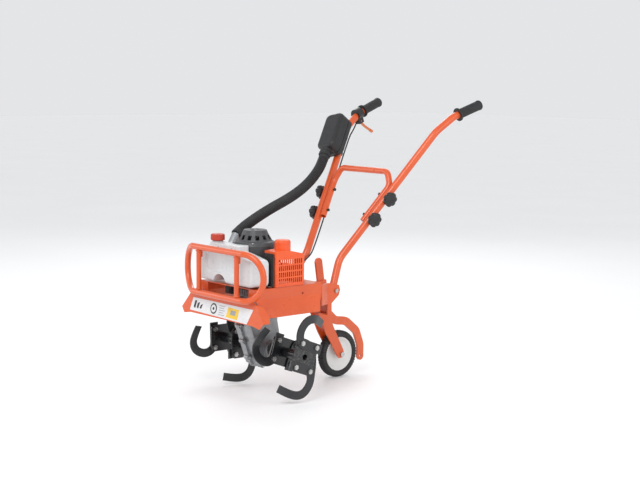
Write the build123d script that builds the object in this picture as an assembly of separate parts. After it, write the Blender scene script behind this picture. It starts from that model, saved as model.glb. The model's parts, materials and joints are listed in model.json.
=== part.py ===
from build123d import *
import os
from math import atan2, cos, degrees, pi, radians, sin

# Rear-wheeled mini tiller with a vertical-shaft two-stroke engine. Millimetres, +Z up, the ground at Z = 0.
# +Y points back to the operator, +X is the operator's left. The origin is the middle of the footprint.

# Driving dimensions
TINE_Y, TINE_Z = -291, 152
CRANK_Y = -325
DECK_TOP = 380
DECK_HALF = 150
DECK_FRONT, DECK_REAR = -440, -157
SHEET = 3
SIDE_CREASE, SIDE_MID, SIDE_LOW = 345, 320, 290
MID_HALF, LOW_HALF = 164, 188
RAIL_HOLE_Z = 352
BUMPER_Y, BUMPER_TOP, BUMPER_LOW = -483, 500, 346
BUMPER_R, BUMPER_BAR_X = 10.5, 104
WHEEL_Y, WHEEL_R = 52, 85
LEG_X, LEG_THICK = 20, 5
PIVOT_X, PIVOT_Y, PIVOT_Z = 118, -80, 343
HANDLE_R, HANDLE_WALL = 13, 1.6
KNOB_HEIGHTS = (585, 655)
STAKE_THICK, STAKE_WIDTH = 8, 30
STAKE_TOP, STAKE_END = 424, 62
HOSE_R = 19
CLEAR = 0.05

# Route of the intake hose, from the air box spigot down to the carburettor elbow.
HOSE_ROUTE = [(-197, 155, 786), (-189, 137, 761), (-182.5, 110, 728), (-178, 65, 689), (-172, 9, 657),
              (-165, -53, 632), (-158, -119, 610), (-150, -184, 586), (-141, -244, 561), (-135, -282, 542.5),
              (-131, -306, 527)]
# Route of the throttle cable: down behind the right handle tube, inside its knee and forward to the carburettor.
CABLE_ROUTE = [(-244, 357, 903), (-237, 334, 873), (-226, 300, 847), (-96, 28, 470), (-64, -38, 422),
               (-74, -150, 396), (-86, -250, 402), (-76, -304, 432)]
CABLE_R = 2.5


def box(x0, x1, y0, y1, z0, z1):
    centre = Pos((x0 + x1) / 2, (y0 + y1) / 2, (z0 + z1) / 2)
    return centre * Box(x1 - x0, y1 - y0, z1 - z0)


def rod(start, end, radius, inner=0):
    """Straight round bar between two points, or a tube when inner is given."""
    line = Vector(*end) - Vector(*start)
    plane = Plane(origin=start, z_dir=line)
    bar = extrude(plane * Circle(radius), line.length)
    if inner:
        bar -= extrude(plane * Circle(inner), line.length)
    return bar


def bent_rod(points, bends, radius, inner=0):
    """Round bar or tube along straight runs joined by tangent arcs."""
    path = FilletPolyline(*points, radius=bends)
    plane = Plane(origin=path @ 0, z_dir=path % 0)
    bar = sweep(plane * Circle(radius), path=path)
    if inner:
        bar -= sweep(plane * Circle(inner), path=path)
    return bar


def side_plate(points, x0, x1, corner=0):
    """Flat plate with its outline given as (y, z) points, from x0 to x1."""
    face = make_face(Polyline(*points, close=True))
    if corner:
        face = fillet(face.vertices(), corner)
    return Pos(x0, 0, 0) * extrude(Plane.YZ * face, x1 - x0)


def flat_plate(points, z0, z1, corner=0):
    """Flat plate with its outline given as (x, y) points, from z0 to z1."""
    face = make_face(Polyline(*points, close=True))
    if corner:
        face = fillet(face.vertices(), corner)
    return Pos(0, 0, z0) * extrude(face, z1 - z0)


def mirrored(shape):
    return mirror(shape, about=Plane.YZ)


def hex_bolt(start, end, radius, head):
    """Bolt from its head's outer face to its plain end, with a hexagon head of the height given."""
    line = Vector(*end) - Vector(*start)
    plane = Plane(origin=start, z_dir=line)
    shank = extrude(plane * Circle(radius), line.length)
    return shank + extrude(plane * RegularPolygon(radius * 1.85, 6), head)


def handle_axis(z, side=1):
    """Centreline of the straight stretch of a handle tube, at height z."""
    rise = z - 500
    return (side * (107 + 0.329 * rise), 19 + 0.723 * rise, z)


# ---------------------------------------------------------------- frame
def deck_plate():
    plate = box(-DECK_HALF, DECK_HALF, DECK_FRONT, DECK_REAR, DECK_TOP - SHEET, DECK_TOP)
    plate -= rod((0, CRANK_Y, DECK_TOP - 9), (0, CRANK_Y, DECK_TOP + 9), 42)
    for x, y in engine_feet():
        plate -= rod((x, y, DECK_TOP - 9), (x, y, DECK_TOP + 9), 3.05)
    return plate


def left_side_rail():
    top = DECK_TOP - SHEET
    outline = Polyline(
        (DECK_HALF, top), (DECK_HALF, SIDE_CREASE), (MID_HALF, SIDE_MID), (LOW_HALF, SIDE_LOW),
        (LOW_HALF - SHEET, SIDE_LOW), (MID_HALF - SHEET, SIDE_MID - 2), (DECK_HALF - SHEET, SIDE_CREASE - 2),
        (DECK_HALF - SHEET, top), close=True)
    face = make_face(outline)
    rail = extrude(Plane.XZ * face, -(DECK_REAR - DECK_FRONT))
    rail = Pos(0, DECK_FRONT, 0) * rail
    # The flared lower bands are cut back at both ends.
    rail -= side_plate([(DECK_REAR + 1, SIDE_CREASE), (DECK_REAR + 1, 250), (DECK_REAR - 65, 250)], 140, 200)
    rail -= side_plate([(DECK_FRONT - 1, SIDE_CREASE), (DECK_FRONT - 1, 250), (DECK_FRONT + 42, 250)], 140, 200)
    rail -= rod((130, -240, RAIL_HOLE_Z), (170, -240, RAIL_HOLE_Z), 4)
    return rail


def front_skirt():
    """Apron under the bumper: a sloping face, a flared end folded back at each side, and its shelf."""
    slope = side_plate([(-455, 345), (-468, 258), (-471, 258), (-458, 345)], -240, 240)
    half = [(150, 346), (181, 336), (224, 281), (207, 262), (170, 268)]
    outline = half + [(-x, z) for x, z in reversed(half)]
    face = make_face(Polyline(*outline, close=True))
    slope = slope & (Pos(0, -400, 0) * extrude(Plane.XZ * face, 100))
    shelf = box(-DECK_HALF + SHEET, DECK_HALF - SHEET, -457, DECK_FRONT, 342, 345)
    post = box(112, DECK_HALF - SHEET, DECK_FRONT, DECK_FRONT + 3, 342, DECK_TOP - SHEET)
    edge = make_face(Polyline((181, 336), (224, 281), (221, 279), (178.5, 333.5), close=True))
    tab = Pos(0, -430, 0) * extrude(Plane.XZ * edge, 40)
    tab = tab & side_plate([(-459, 336), (-436, 330), (-430, 300), (-440, 279), (-466.5, 279)], 170, 230)
    return slope + shelf + post + mirrored(post) + tab + mirrored(tab)


def bumper_bar():
    """Stadium loop of tube with swept-back round ends and two upright bars."""
    radius = (BUMPER_TOP - BUMPER_LOW) / 2
    middle = (BUMPER_TOP + BUMPER_LOW) / 2
    straight = 137
    sweep_back = 22

    def solid(tube_r):
        shape = rod((-straight, BUMPER_Y, BUMPER_TOP), (straight, BUMPER_Y, BUMPER_TOP), tube_r)
        shape += rod((-straight, BUMPER_Y, BUMPER_LOW), (straight, BUMPER_Y, BUMPER_LOW), tube_r)
        for side in (1, -1):
            centre = Location((side * straight, BUMPER_Y, middle), (0, 0, side * sweep_back))
            arc = CenterArc((0, 0, 0), radius, -90, 180)
            if side < 0:
                arc = CenterArc((0, 0, 0), radius, 90, 180)
            arc = centre * (Plane.XZ * arc)
            section = Plane(origin=arc @ 0, z_dir=arc % 0) * Circle(tube_r)
            shape += sweep(section, path=arc)
            for height in (BUMPER_TOP, BUMPER_LOW):
                shape += Pos(side * straight, BUMPER_Y, height) * Sphere(tube_r)
        return shape

    loop = solid(BUMPER_R) - solid(BUMPER_R - 1.6)
    for side in (1, -1):
        upright = rod((side * BUMPER_BAR_X, BUMPER_Y, BUMPER_LOW), (side * BUMPER_BAR_X, BUMPER_Y, BUMPER_TOP), 8.5)
        upright -= rod((0, BUMPER_Y, BUMPER_TOP), (200 * side, BUMPER_Y, BUMPER_TOP), BUMPER_R)
        upright -= rod((0, BUMPER_Y, BUMPER_LOW), (200 * side, BUMPER_Y, BUMPER_LOW), BUMPER_R)
        loop += upright
        # Small gusset under the top bar, inboard of the upright.
        gusset = box(side * BUMPER_BAR_X - 8, side * BUMPER_BAR_X + 8, BUMPER_Y + 6, BUMPER_Y + 10, 466, 494)
        loop += gusset
        # Weld plates that carry the loop on the apron's shelf.
        foot = box(side * 100 - 14, side * 100 + 14, BUMPER_Y + 4, -455, 345, 349)
        loop += foot
        # Drain hole under each end of the lower bar.
        loop -= rod((side * 60, BUMPER_Y, 325), (side * 60, BUMPER_Y, BUMPER_LOW), 3)
    return loop


def rear_bracket():
    """Bent cheek on each side, carrying the handle pivots, and the cross plate between them."""
    cheek = flat_plate([(150, -156.9), (152, -154), (137, -118), (137, -60), (132, -60), (132, -119),
                        (147, -156.9)], 300, 372)
    shape = side_plate([(-160, 372), (-110, 372), (-66, 362), (-60, 345), (-66, 326), (-100, 300), (-160, 300)],
                       120, 160)
    cheek = cheek & shape
    cheek += box(132, 137, -117, -98, 262, 302)
    cheek -= rod((120, PIVOT_Y, PIVOT_Z), (140, PIVOT_Y, PIVOT_Z), 4 + CLEAR)
    plate = box(-132, 132, -104, -100, 262, 325)
    stiffener = box(-132, 132, -117, -104, 262, 266)
    spine = box(-148, 148, DECK_REAR + 0.1, DECK_REAR + 3, 300, DECK_TOP - 3)
    tie = box(128, 132, -154, -104, 300, 325)
    return cheek + mirrored(cheek) + plate + stiffener + spine + tie + mirrored(tie)


def left_wheel_leg():
    """Flat bar from the cross plate down to the wheel axle."""
    outline = [(-100, 306), (-58, 306), (-33, 288), (12, 190), (62, 96), (58, 74), (40, 72), (30, 84), (-22, 168),
               (-62, 252), (-100, 264)]
    leg = side_plate(outline, LEG_X, LEG_X + LEG_THICK, 5)
    leg -= rod((LEG_X - 5, WHEEL_Y, WHEEL_R), (LEG_X + 10, WHEEL_Y, WHEEL_R), 5)
    return leg


def stake_line(z):
    """Middle of the drag stake's straight stretch at height z."""
    return -44 + 0.158 * (439 - z)


def stake_socket():
    """Sleeve that the drag stake slides in, tied to both wheel legs."""
    tilt = Rot(degrees(atan2(0.158, 1)), 0, 0)
    sleeve = Box(STAKE_THICK + 10, STAKE_WIDTH + 10, 50) - Box(STAKE_THICK + 0.8, STAKE_WIDTH + 0.8, 70)
    sleeve = Pos(0, stake_line(333), 333) * tilt * sleeve
    arm = box(9, LEG_X, -60, -46, 290, 304)
    rib = box(5, 9, -60, -42, 290, 335)
    arms = arm + rib + mirrored(arm) + mirrored(rib)
    inside = Pos(0, stake_line(333), 333) * tilt * Box(STAKE_THICK + 0.8, STAKE_WIDTH + 0.8, 90)
    sleeve = sleeve + arms - inside
    sleeve -= rod((0, stake_line(330), 330), (30, stake_line(330), 330), 4 + CLEAR)
    boss = rod((9, stake_line(330), 330), (17, stake_line(330), 330), 8, 4 + CLEAR)
    return sleeve + boss


def stake_clamp_screw():
    """Screw whose tip presses on the stake's side, with a bar through its head."""
    y = stake_line(330)
    screw = rod((STAKE_THICK / 2 + 0.35, y, 330), (30, y, 330), 4)
    head = rod((24, y, 330), (33, y, 330), 8)
    handle = rod((28.5, y - 19, 330), (28.5, y + 19, 330), 2.5)
    return screw + head + handle


def drag_stake():
    """Flat bar that arches over the wheel and trails behind it."""
    outer = [(stake_line(STAKE_TOP), STAKE_TOP), (stake_line(284), 284), (6, 236), (38, 207), (90, 200), (142, 158),
             (163, 105), (163, STAKE_END)]
    path = FilletPolyline(*outer, radius=[60, 40, 40, 50, 40, 40])
    body = trace(path, STAKE_WIDTH)
    plate = Pos(-STAKE_THICK / 2, 0, 0) * extrude(Plane.YZ * body, STAKE_THICK)
    top_y = stake_line(STAKE_TOP)
    top = rod((-STAKE_THICK / 2, top_y, STAKE_TOP), (STAKE_THICK / 2, top_y, STAKE_TOP), STAKE_WIDTH / 2)
    end = rod((-STAKE_THICK / 2, 163, STAKE_END), (STAKE_THICK / 2, 163, STAKE_END), STAKE_WIDTH / 2)
    hole = rod((-10, 163, STAKE_END), (10, 163, STAKE_END), 5)
    return plate + top + end - hole


# ---------------------------------------------------------------- gearbox and drive
def gearbox_outline(grow):
    """Side outline of the gear case as (y, z) shape: a bell under the deck tapering to the axle housing."""
    outline = [(CRANK_Y - 62, 377), (CRANK_Y + 62, 377), (CRANK_Y + 62, 300), (TINE_Y + 52, 190),
               (TINE_Y + 50, 124), (TINE_Y + 18, 96), (CRANK_Y - 12, 96), (CRANK_Y - 62, 235)]
    bell = make_face(Polyline(*outline, close=True))
    bell = fillet(bell.vertices().filter_by(lambda v: v.Y < 370), 16)
    if grow:
        bell = offset(bell, grow, kind=Kind.INTERSECTION)
    return bell


def gearbox_left_half():
    """Cast half of the gear case, joined to the other along the middle plane."""
    case = extrude(Plane.YZ * gearbox_outline(0), 42)
    case = chamfer(case.faces().sort_by(Axis.X)[-1].edges().filter_by(lambda e: e.center().Z < 370), 12)
    case += extrude(Plane.YZ * gearbox_outline(7), 6) & box(-5, 60, -600, 0, 0, 377)
    for place in flange_places():
        case += rod((0, *place), (10, *place), 8)
    case += rod((30, TINE_Y, TINE_Z), (62, TINE_Y, TINE_Z), 30)
    case -= box(-1, 34, CRANK_Y - 52, CRANK_Y + 52, 236, 368)
    case -= rod((0, CRANK_Y, 118), (0, CRANK_Y, 240), 11)
    case -= rod((-1, TINE_Y, TINE_Z), (28, TINE_Y, TINE_Z), 31)
    case -= rod((-2, TINE_Y, TINE_Z), (52, TINE_Y, TINE_Z), 21)
    case -= rod((50, TINE_Y, TINE_Z), (64, TINE_Y, TINE_Z), 12)
    case -= rod((0, CRANK_Y, 366), (0, CRANK_Y, 380), 30)
    for place in flange_places():
        case -= rod((-5, *place), (20, *place), 3.05)
    return case


def flange_places():
    """Bolt centres round the joint of the case halves, as (y, z)."""
    return [(CRANK_Y - 71, 345), (CRANK_Y - 71, 290), (CRANK_Y - 69, 236), (CRANK_Y - 52, 182),
            (CRANK_Y - 31, 124), (TINE_Y - 6, 88), (TINE_Y + 60, 150), (TINE_Y + 49, 246), (CRANK_Y + 71, 345)]


def chassis_bolts():
    """Bolts round the gear case joint, and the four that hold the engine to the deck."""
    bolts = []
    for place in flange_places():
        bolts.append(hex_bolt((15, *place), (-15, *place), 3, 5))
        bolts[-1] += extrude(Plane(origin=(-10, *place), z_dir=(-1, 0, 0)) * RegularPolygon(5.6, 6), 5)
    for x, y in engine_feet():
        bolts.append(hex_bolt((x, y, 417), (x, y, 366), 3, 5))
    return Compound(children=bolts)


def engine_feet():
    return [(sx * 52, CRANK_Y + sy * 40) for sx in (1, -1) for sy in (1, -1)]


def worm_shaft():
    """Clutch drum on top of the upright shaft, and the worm that drives the axle."""
    drum = rod((0, CRANK_Y, 383), (0, CRANK_Y, 387), 39) + rod((0, CRANK_Y, 387), (0, CRANK_Y, 403), 39, 36)
    shaft = rod((0, CRANK_Y, 121), (0, CRANK_Y, 385), 6)
    worm = rod((0, CRANK_Y, 125), (0, CRANK_Y, 180), 6.6)
    thread = Helix(pitch=7, height=42, radius=6.7)
    thread = Pos(0, CRANK_Y, 131) * thread
    profile = Plane(origin=thread @ 0, z_dir=thread % 0) * Circle(1.4)
    worm += sweep(profile, path=thread, is_frenet=True)
    return drum + shaft + worm


def worm_wheel():
    """Bronze wheel on the axle, in front of which the worm turns."""
    radius = TINE_Y - CRANK_Y - 11.7
    wheel = rod((-9, TINE_Y, TINE_Z), (9, TINE_Y, TINE_Z), radius - 2)
    for k in range(30):
        angle = 2 * pi * k / 30
        y, z = TINE_Y + radius * cos(angle), TINE_Z + radius * sin(angle)
        tooth = Location((0, y, z), (degrees(angle), 0, 0)) * Box(18, 5, 2.4)
        wheel += tooth
    wheel -= rod((-10, TINE_Y, TINE_Z), (10, TINE_Y, TINE_Z), 11)
    return wheel


def output_shaft():
    shaft = rod((-140, TINE_Y, TINE_Z), (140, TINE_Y, TINE_Z), 11)
    for side in (1, -1):
        shaft -= rod((side * 92, TINE_Y, TINE_Z - 20), (side * 92, TINE_Y, TINE_Z + 20), 4)
    return shaft


def output_bearings():
    rings = [rod((side * 40, TINE_Y, TINE_Z), (side * 51, TINE_Y, TINE_Z), 20.95, 11.05) for side in (1, -1)]
    return Compound(children=rings)


# ---------------------------------------------------------------- tines
PLATE_X = (112, 221)
# The sleeve's bore narrows past the end of the axle.
HUB_STEP_X = 145
PLATE_THICK = 6
BOLT_R = 52
BOLT_ANGLES = (31, 108, 211, 288)
SWING_R = 150
BLADE_WIDTH, BLADE_THICK = 30, 6
PLATE_PHASE = {(1, 0): 90, (1, 1): 0, (-1, 0): 20, (-1, 1): -70}


def at_plate(side, which, shape):
    """Place a shape, drawn round the axle at X = 0, on a plate's outer face, turned to its phase."""
    turned = Rot(PLATE_PHASE[side, which], 0, 0) * shape
    if side < 0:
        turned = mirrored(turned)
    return Pos(side * (PLATE_X[which] + PLATE_THICK / 2), TINE_Y, TINE_Z) * turned


def bolt_circle():
    return [(BOLT_R * cos(radians(a)), BOLT_R * sin(radians(a))) for a in BOLT_ANGLES]


def blade_plate():
    """Rounded plate, its outer face at X = 0, with a bolt hole near each corner."""
    face = make_face(Polyline(*bolt_circle(), close=True))
    face = offset(face, 15)
    plate = Pos(-PLATE_THICK, 0, 0) * extrude(Plane.YZ * face, PLATE_THICK)
    for y, z in bolt_circle():
        plate -= rod((-10, y, z), (5, y, z), 5.05)
    return plate


def tine_hub(side):
    """Sleeve over the axle with its two welded blade plates."""
    sleeve = rod((side * 66, TINE_Y, TINE_Z), (side * 224, TINE_Y, TINE_Z), 17)
    for which in (0, 1):
        sleeve += at_plate(side, which, blade_plate())
    sleeve -= rod((side * 60, TINE_Y, TINE_Z), (side * HUB_STEP_X, TINE_Y, TINE_Z), 11.05)
    sleeve -= rod((side * 100, TINE_Y, TINE_Z), (side * 240, TINE_Y, TINE_Z), 10)
    sleeve -= rod((side * 92, TINE_Y, TINE_Z - 20), (side * 92, TINE_Y, TINE_Z + 20), 4.05)
    return sleeve


def blade(tip_bend):
    """Curved blade lying on X = 0, held by two bolts, its tip swung sideways by tip_bend."""
    path = FilletPolyline((-56, -22), (24, -49), (20, -92), (-14, -123), (-36, -124), radius=[18, 30, 20])
    flat = extrude(Plane.YZ * trace(path, BLADE_WIDTH), BLADE_THICK)
    start = Vector(BLADE_THICK / 2, -31, -124)
    run = Vector(tip_bend, -75, 3)
    across = Plane(origin=start, x_dir=(0, 0, 1), z_dir=run)
    tip = extrude(across * Rectangle(BLADE_WIDTH, BLADE_THICK), run.length)
    reach = rod((-120, 0, 0), (120, 0, 0), SWING_R)
    shape = (flat + tip) & reach
    for y, z in bolt_circle()[2:]:
        shape -= rod((-5, y, z), (15, y, z), 5.05)
    return shape


def tine_blades(side):
    """Two blades on each plate, opposite each other; the inner plate's tips lean out, the outer's in."""
    group = []
    for which, bend in ((0, 30), (1, -26)):
        for half_turn in (0, 180):
            group.append(at_plate(side, which, Rot(half_turn, 0, 0) * blade(bend)))
    return Compound(children=group)


def tine_bolts(side):
    """Blade bolts with their nuts outside, and the pin that holds the rotor on the axle."""
    group = []
    for which in (0, 1):
        for y, z in bolt_circle():
            bolt = rod((-13, y, z), (BLADE_THICK + 8, y, z), 5)
            bolt += extrude(Plane(origin=(-12, y, z), z_dir=(1, 0, 0)) * RegularPolygon(9, 6), 6)
            bolt += extrude(Plane(origin=(BLADE_THICK, y, z), z_dir=(1, 0, 0)) * RegularPolygon(9, 6), 6)
            group.append(at_plate(side, which, bolt))
    pin = rod((side * 92, TINE_Y, TINE_Z - 26), (side * 92, TINE_Y, TINE_Z + 22), 4)
    pin += rod((side * 92, TINE_Y, TINE_Z + 17.3), (side * 92, TINE_Y, TINE_Z + 26), 7)
    group.append(pin)
    return Compound(children=group)


# ---------------------------------------------------------------- wheel
def tyre():
    section = Pos(0, 70) * Ellipse(16, 15)
    ring = revolve(Plane.XY * section, Axis.X)
    ring -= rod((-20, 0, 0), (20, 0, 0), 62)
    limit = rod((-20, 0, 0), (20, 0, 0), WHEEL_R)
    ring = ring & limit
    return Pos(0, WHEEL_Y, WHEEL_R) * ring


def wheel_hub():
    """Disc wheel with a raised rim and a through bore."""
    disc = rod((-11, 0, 0), (11, 0, 0), 61.9)
    disc -= rod((5, 0, 0), (12, 0, 0), 54)
    disc -= rod((-12, 0, 0), (-5, 0, 0), 54)
    disc += rod((-19, 0, 0), (19, 0, 0), 13)
    disc -= rod((-20, 0, 0), (20, 0, 0), 5.05)
    return Pos(0, WHEEL_Y, WHEEL_R) * disc


def wheel_axle():
    x = LEG_X + LEG_THICK
    bolt = hex_bolt((x + 6, WHEEL_Y, WHEEL_R), (-x - 10, WHEEL_Y, WHEEL_R), 5, 6)
    nut = Plane(origin=(-x - 8, WHEEL_Y, WHEEL_R), z_dir=(1, 0, 0)) * RegularPolygon(9, 6)
    return bolt + extrude(nut, 8)


# ---------------------------------------------------------------- engine
def crankcase():
    """Crank chamber standing on the deck, with four feet and the side port for the cylinder."""
    case = rod((0, CRANK_Y, 406), (0, CRANK_Y, 438), 44)
    case += box(-57, 57, CRANK_Y - 46, CRANK_Y + 46, 404, 412)
    for x, y in engine_feet():
        case += rod((x, y, DECK_TOP), (x, y, 412), 6.4)
        case -= rod((x, y, 370), (x, y, 415), 3.05)
    case -= rod((0, CRANK_Y, 400), (0, CRANK_Y, 440), 9.05)
    case -= rod((0, CRANK_Y, 408), (0, CRANK_Y, 434), 30)
    return case


def cylinder():
    """Finned barrel and head, lying towards the operator's left."""
    barrel = box(44.5, 126, CRANK_Y - 18, CRANK_Y + 18, 412.5, 446)
    for k in range(8):
        x = 60 + 9 * k
        barrel += box(x, x + 3, CRANK_Y - 30, CRANK_Y + 30, 396, 450)
    barrel += rod((120, CRANK_Y, 429), (130, CRANK_Y, 429), 13)
    barrel -= rod((40, CRANK_Y, 429), (112, CRANK_Y, 429), 14)
    return barrel


COVER_X0, COVER_X1 = 93, 152
COVER_Y0, COVER_Y1 = -358, -231
COVER_TOP = 484


def cylinder_cover():
    """Louvred shell over the cylinder with a dome for the plug, open towards the crankcase and below."""
    low = DECK_TOP + 1
    outline = [(COVER_Y0, low), (COVER_Y0, 499), (-310, 502), (COVER_Y1, COVER_TOP), (COVER_Y1, low)]
    body = side_plate(outline, COVER_X0, COVER_X1)
    body = fillet(body.edges().filter_by(Axis.Z).group_by(Axis.X)[-1], 10)
    body += rod((119, -303, 470), (119, -303, 534), 27)
    body = fillet(body.faces().sort_by(Axis.Z)[-1].edges(), 9)
    inner = [(COVER_Y0 + 3, low - 5), (COVER_Y0 + 3, 496), (-310, 499), (COVER_Y1 - 3, COVER_TOP - 3),
             (COVER_Y1 - 3, low - 5)]
    body -= side_plate(inner, COVER_X0 - 5, COVER_X1 - 3)
    body -= rod((119, -303, 480), (119, -303, 531), 24)
    for row in range(4):
        for column in range(12):
            y = COVER_Y0 + 14 + column * 8.5
            z = DECK_TOP + 12 + row * 21
            body -= box(COVER_X1 - 8, COVER_X1 + 2, y, y + 4.5, z, z + 16)
    body -= rod((110, COVER_Y1 - 10, 399), (110, COVER_Y1 + 10, 399), 9)
    return body


def muffler():
    can = box(62, 138, -284, -238, 392, 446)
    can = fillet(can.edges().filter_by(Axis.X), 10)
    pipe = rod((100, -294.5, 420), (100, -282, 420), 9)
    tail = rod((110, -242, 399), (110, -218, 399), 6)
    return can + pipe + tail


def plug_cap():
    """Boot over the spark plug, with its lead's first stretch."""
    boot = rod((130.3, CRANK_Y, 429), (146, CRANK_Y, 429), 9)
    lead = bent_rod([(138, CRANK_Y, 432), (138, CRANK_Y, 466), (96, CRANK_Y - 4, 468)], [14], 3)
    return boot + lead


def carburettor():
    """Body on the far side of the crankcase with the elbow that takes the intake hose."""
    body = box(-96, -48, CRANK_Y - 16, CRANK_Y + 16, 414, 446)
    bowl = rod((-79, CRANK_Y, 398), (-79, CRANK_Y, 414), 14)
    body += bowl
    corners = [(-92, CRANK_Y, 430), (-124, CRANK_Y - 3, 430), (-124, CRANK_Y - 3, 498), HOSE_ROUTE[-1]]
    for start, end in zip(corners, corners[1:]):
        body += rod(start, end, 15)
    for corner in corners[1:3]:
        body += Pos(*corner) * Sphere(15)
    port = rod((-49, CRANK_Y, 424), (-44.3, CRANK_Y, 424), 12)
    return body + port


FILLER = (-88, -416)


def fuel_tank():
    """Blow-moulded tank with a recessed front, a notch below and a raised filler neck."""
    front, back = -456, -382
    outline = [(-146, 388), (-146, 478), (-112, 504), (40, 492), (146, 472), (146, 386)]
    body = make_face(Polyline(*outline, close=True))
    body = fillet(body.vertices(), 16)
    tank = Pos(0, back, 0) * extrude(Plane.XZ * body, back - front)
    tank = fillet(tank.edges().filter_by(GeomType.LINE).group_by(Axis.Y)[0], 8)
    notch = rod((-28, -500, 380), (-28, -300, 380), 34)
    tank -= notch
    neck = box(-106, 52, -440, -388, 486, 514)
    neck = fillet(neck.edges().filter_by(Axis.Z), 10)
    tank += neck
    # The rear of the tank is hollowed to clear the round fan housing.
    tank -= rod((0, CRANK_Y, 446), (0, CRANK_Y, 560), FAN_R + 2)
    cavity = box(-132, 128, -448, -402, 424, 441)
    filler = rod((*FILLER, 436), (*FILLER, 530), 16)
    tank += rod((*FILLER, 500), (*FILLER, 520), 18)
    return tank - cavity - filler


def fuel_cap():
    x, y = FILLER
    cap = rod((x, y, 520.4), (x, y, 542), 24)
    for k in range(12):
        angle = 2 * pi * k / 12
        flute = (x + 25 * cos(angle), y + 25 * sin(angle))
        cap -= rod((*flute, 524), (*flute, 550), 2.6)
    stem = rod((x, y, 508), (x, y, 521), 15.95, 12)
    return cap + stem


FAN_R = 74


def fan_housing():
    """Round casting that ducts the flywheel's air, open above, on top of the crankcase."""
    housing = rod((0, CRANK_Y, 452), (0, CRANK_Y, 506), FAN_R)
    housing -= rod((0, CRANK_Y, 456), (0, CRANK_Y, 510), FAN_R - 5)
    housing -= rod((0, CRANK_Y, 450), (0, CRANK_Y, 460), 22)
    for x, y in ((30, 24), (-30, 24), (30, -18), (-30, -18)):
        housing += rod((x, CRANK_Y + y, 438), (x, CRANK_Y + y, 453), 6)
    return housing


def recoil_cover():
    """Domed starter cover with radial windows, closing the fan housing."""
    levels = [(506.3, FAN_R - 3), (518, FAN_R - 8), (522, 58), (546, 44), (558, 39)]
    shape = Part()
    inner = Part()
    for (z0, r0), (z1, r1) in zip(levels, levels[1:]):
        shape += Solid.make_cone(r0, r1, z1 - z0, Plane(origin=(0, CRANK_Y, z0)))
        inner += Solid.make_cone(r0 - 3, r1 - 3, z1 - z0, Plane(origin=(0, CRANK_Y, z0 - 3)))
    shape -= inner
    for k in range(12):
        turn = Pos(0, CRANK_Y, 0) * Rot(0, 0, 360 * k / 12)
        shape -= turn * Pos(50, 0, 534) * Box(30, 13, 15)
    for k in range(6):
        turn = Pos(0, CRANK_Y, 0) * Rot(0, 0, 60 * k)
        shape -= turn * Pos(20, 0, 556) * Box(20, 7, 20)
    shape += rod((0, CRANK_Y, 538), (0, CRANK_Y, 557), 6)
    along = FAN_R / 2 ** 0.5
    start = (-along + 8, CRANK_Y + along - 8, 515)
    end = (-along - 9, CRANK_Y + along + 9, 515)
    guide = rod(start, end, 8, 3.5)
    return shape + (guide - rod((0, CRANK_Y, 500), (0, CRANK_Y, 530), FAN_R - 8))


def starter_pulley():
    """Rope pulley under the dome, turning on the dome's post."""
    wheel = rod((0, CRANK_Y, 520), (0, CRANK_Y, 536), 36, 6.05)
    groove = rod((0, CRANK_Y, 524), (0, CRANK_Y, 532), 42, 31)
    return wheel - groove


START_DIR = (-0.7071, 0.7071, 0)


def starter_handle():
    """Pull grip resting against the rope guide."""
    along = FAN_R / 2 ** 0.5 + 10
    base = Vector(-along, CRANK_Y + along, 515)
    away = Vector(*START_DIR)
    stem = rod(tuple(base), tuple(base + away * 14), 8)
    bar = rod(tuple(base + away * 14 + Vector(0, 0, -26)), tuple(base + away * 14 + Vector(0, 0, 26)), 9)
    return stem + bar


def flywheel():
    """Crankshaft with the finned flywheel on top and the clutch carrier below."""
    shaft = rod((0, CRANK_Y, 390), (0, CRANK_Y, 462), 9)
    disc = rod((0, CRANK_Y, 460), (0, CRANK_Y, 470), FAN_R - 8)
    for k in range(16):
        turn = Pos(0, CRANK_Y, 0) * Rot(0, 0, 360 * k / 16)
        disc += turn * Pos(48, 0, 481) * Box(32, 4, 24)
    disc += rod((0, CRANK_Y, 470), (0, CRANK_Y, 486), 20)
    carrier = rod((0, CRANK_Y, 389), (0, CRANK_Y, 401), 34)
    return shaft + disc + carrier


# ---------------------------------------------------------------- handle
TUBE_BEND = (247, 369, 935)
KNEE_Z, BEND_Z = 443, 884
TUBE_END = (261.5, 480, 975)
TUBE_BENDS = [90, 110, 90]
# The grip covers the tube's last stretch.
GRIP_START, GRIP_END = (249.5, 388, 942.5), (262.6, 487.7, 977.8)
GRIP_R, FLANGE_R, FLANGE_THICK = 17, 24, 6


def handle_route(side, end):
    low = (PIVOT_X, PIVOT_Y, PIVOT_Z)
    points = [low, handle_axis(KNEE_Z), handle_axis(BEND_Z), TUBE_BEND, end]
    return [(side * x, y, z) for x, y, z in points]


def handle_tube(side):
    """Tube from the pivot up to the grip's end, with a cross hole at the foot."""
    route = handle_route(side, TUBE_END)
    tube = bent_rod(route, TUBE_BENDS, HANDLE_R, HANDLE_R - HANDLE_WALL)
    inboard, outboard = side * (PIVOT_X - HANDLE_R), side * (PIVOT_X + HANDLE_R)
    foot = rod((inboard, PIVOT_Y, PIVOT_Z), (outboard, PIVOT_Y, PIVOT_Z), HANDLE_R)
    tube += foot
    tube -= rod((side * 90, PIVOT_Y, PIVOT_Z), (side * 140, PIVOT_Y, PIVOT_Z), 4.05)
    return tube - knob_holes(3.05)


def across_handle(height, side):
    """Plane across a handle tube: its X points outboard and its Z runs up the tube."""
    away = Vector(side * 0.329, 0.723, 1).normalized()
    outboard = (Vector(side, 0, 0) - away * (side * away.X)).normalized()
    return Plane(origin=handle_axis(height, side), x_dir=outboard, z_dir=away)


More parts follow.
